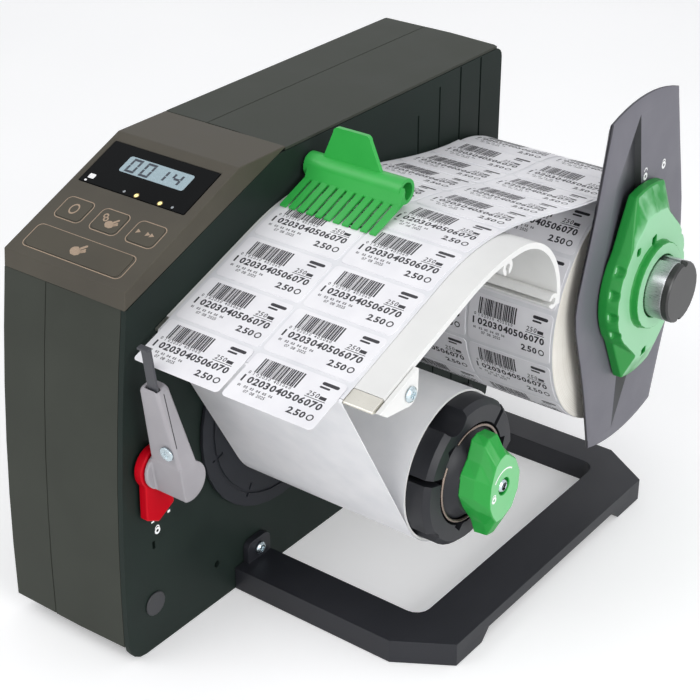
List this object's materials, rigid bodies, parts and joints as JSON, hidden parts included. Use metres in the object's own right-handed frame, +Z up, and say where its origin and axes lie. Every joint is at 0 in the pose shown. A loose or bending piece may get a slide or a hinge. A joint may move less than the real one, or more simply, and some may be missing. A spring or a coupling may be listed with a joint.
{
  "type": "label dispenser machine",
  "caption": "Desk label dispenser: housing with display and keys, supply roll on a shaft with a margin stop, peel platform with comb, sensor arm, expanding rewinder and foot frame.",
  "frame": {"origin": "on the desk, under the middle of the part's outer box", "axes": "+Z up, +Y to the back, +X out along the two roll axes, away from the side plate"},
  "size_m": [0.2526, 0.3874, 0.2744],
  "materials": {
    "shell_dark": "fine textured dark grey moulding",
    "plate_dark": "fine textured dark grey paint",
    "panel_brown": "brown grey panel with satin face",
    "key_brown": "brown grey keys with pale printed outlines",
    "window_black": "black glossy display window",
    "board_green": "circuit board",
    "case_metal": "folded metal cage with parts inside, mass as a light block",
    "black_plastic": "satin black moulding",
    "motor_black": "black motor body",
    "steel": "turned bright steel",
    "alu": "bare drawn aluminium",
    "alu_white": "white coated aluminium extrusion",
    "green": "bright green moulding",
    "red": "bright red moulding",
    "arm_grey": "light grey moulding",
    "stop_grey": "mid grey moulding",
    "label_white": null,
    "liner": "pale glossy carrier paper",
    "cardboard": "brown wound cardboard",
    "rubber": "black rubber",
    "frame_black": "textured black paint",
    "zinc": "zinc plated steel"
  },
  "bodies": {
    "root": {"side_plate": "plate_dark", "left_cover": "shell_dark", "right_cover": "shell_dark", "base_plate": "plate_dark", "rear_panel": "plate_dark", "mains_inlet": "black_plastic", "hole_plug": "black_plastic", "left_front_foot": "rubber", "left_rear_foot": "rubber", "control_panel": "panel_brown", "display_window": "window_black", "display_board": "board_green", "main_board": "board_green", "power_supply": "case_metal", "rewind_motor": "motor_black", "drive_belt": "rubber", "bearing_housing": "alu", "inner_bearing": "steel", "outer_bearing": "steel", "liner_web": "liner", "label_strip": "label_white", "front_label_left": "label_white", "front_label_right": "label_white", "unwind_shaft": "alu", "shaft_cap": "black_plastic", "platform": "alu_white", "peel_bar": "alu", "end_lug": "alu_white", "lug_screw": "zinc", "platform_screw": "zinc", "comb_rod": "steel", "arm_pivot": "steel", "foot_frame": "frame_black", "frame_screw": "zinc"},
    "rewinder": {"rewind_axle": "steel", "rewind_pulley": "black_plastic", "inner_disc": "black_plastic", "mandrel_core": "black_plastic", "spring_clip": "steel", "take_up_roll": "liner"},
    "motor_pulley_body": {"motor_pulley": "alu"},
    "knob": {"rewind_knob": "green", "knob_screw": "zinc"},
    "upper_segment_body": {"upper_segment": "black_plastic"},
    "front_segment_body": {"front_segment": "black_plastic"},
    "rear_segment_body": {"rear_segment": "black_plastic"},
    "supply": {"supply_roll": "label_white", "supply_core": "cardboard"},
    "stop": {"margin_stop": "stop_grey"},
    "ring": {"lock_ring": "green"},
    "comb_body": {"comb": "green"},
    "arm": {"arm_front_shell": "arm_grey", "arm_rear_shell": "arm_grey", "arm_screw": "zinc"},
    "feeler_body": {"feeler": "black_plastic"},
    "lever": {"red_lever": "red"},
    "key_left_body": {"key_left": "key_brown"},
    "key_middle_body": {"key_middle": "key_brown"},
    "key_right_body": {"key_right": "key_brown"},
    "wide_key_body": {"wide_key": "key_brown"}
  },
  "joints": [
    {"name": "rewind_spin", "type": "hinge", "parent": "root", "child": "rewinder", "pos_m": [0.0217, -0.06075, 0.1133], "axis": [1, 0, 0], "continuous": true},
    {"name": "motor_spin", "type": "hinge", "parent": "root", "child": "motor_pulley_body", "pos_m": [-0.0773, -0.12375, 0.07], "axis": [1, 0, 0], "continuous": true},
    {"name": "knob_turn", "type": "hinge", "parent": "rewinder", "child": "knob", "pos_m": [0.1017, -0.06075, 0.1133], "axis": [1, 0, 0], "range_deg": [0, 75]},
    {"name": "upper_segment_slide", "type": "slide", "parent": "rewinder", "child": "upper_segment_body", "axis": [0, 0.2079, -0.9782], "range_m": [0, 0.0006]},
    {"name": "front_segment_slide", "type": "slide", "parent": "rewinder", "child": "front_segment_body", "axis": [0, 0.7432, 0.6691], "range_m": [0, 0.0006]},
    {"name": "rear_segment_slide", "type": "slide", "parent": "rewinder", "child": "rear_segment_body", "axis": [0, -0.951, 0.3091], "range_m": [0, 0.0006]},
    {"name": "supply_spin", "type": "hinge", "parent": "root", "child": "supply", "pos_m": [0.0217, 0.11825, 0.1398], "axis": [1, 0, 0], "continuous": true},
    {"name": "stop_slide", "type": "slide", "parent": "root", "child": "stop", "axis": [1, 0, 0], "range_m": [-0.002, 0.02]},
    {"name": "ring_turn", "type": "hinge", "parent": "stop", "child": "ring", "pos_m": [0.0997, 0.11825, 0.1585], "axis": [1, 0, 0], "range_deg": [-18, 0]},
    {"name": "comb_lift", "type": "hinge", "parent": "root", "child": "comb_body", "pos_m": [-0.0033, -0.02775, 0.2484], "axis": [1, 0, 0], "range_deg": [-50, 0]},
    {"name": "arm_swing", "type": "hinge", "parent": "root", "child": "arm", "pos_m": [-0.0183, -0.16855, 0.1225], "axis": [1, 0, 0], "range_deg": [0, 25]},
    {"name": "feeler_tilt", "type": "hinge", "parent": "arm", "child": "feeler_body", "pos_m": [-0.02195, -0.17835, 0.17331], "axis": [1, 0, 0], "range_deg": [0, 6], "stiffness_Nm_per_rad": 0.004, "springref_deg": -8.59},
    {"name": "lever_turn", "type": "hinge", "parent": "root", "child": "lever", "pos_m": [-0.0333, -0.16855, 0.1225], "axis": [1, 0, 0], "range_deg": [0, 45]},
    {"name": "key_left_press", "type": "slide", "parent": "root", "child": "key_left_body", "axis": [0, -0.3849, 0.923], "range_m": [-0.0005, 0], "stiffness_N_per_m": 400, "springref_m": 0.0005},
    {"name": "key_middle_press", "type": "slide", "parent": "root", "child": "key_middle_body", "axis": [0, -0.3849, 0.923], "range_m": [-0.0005, 0], "stiffness_N_per_m": 400, "springref_m": 0.0005},
    {"name": "key_right_press", "type": "slide", "parent": "root", "child": "key_right_body", "axis": [0, -0.3849, 0.923], "range_m": [-0.0005, 0], "stiffness_N_per_m": 400, "springref_m": 0.0005},
    {"name": "wide_key_press", "type": "slide", "parent": "root", "child": "wide_key_body", "axis": [0, -0.3849, 0.923], "range_m": [-0.0005, 0], "stiffness_N_per_m": 400, "springref_m": 0.0005}
  ],
  "couplings": [
    {"joint": "motor_spin", "follows": "rewind_spin", "ratio": 2.4},
    {"joint": "upper_segment_slide", "follows": "knob_turn", "m_per_rad": 0.00045836},
    {"joint": "front_segment_slide", "follows": "knob_turn", "m_per_rad": 0.00045836},
    {"joint": "rear_segment_slide", "follows": "knob_turn", "m_per_rad": 0.00045836}
  ]
}
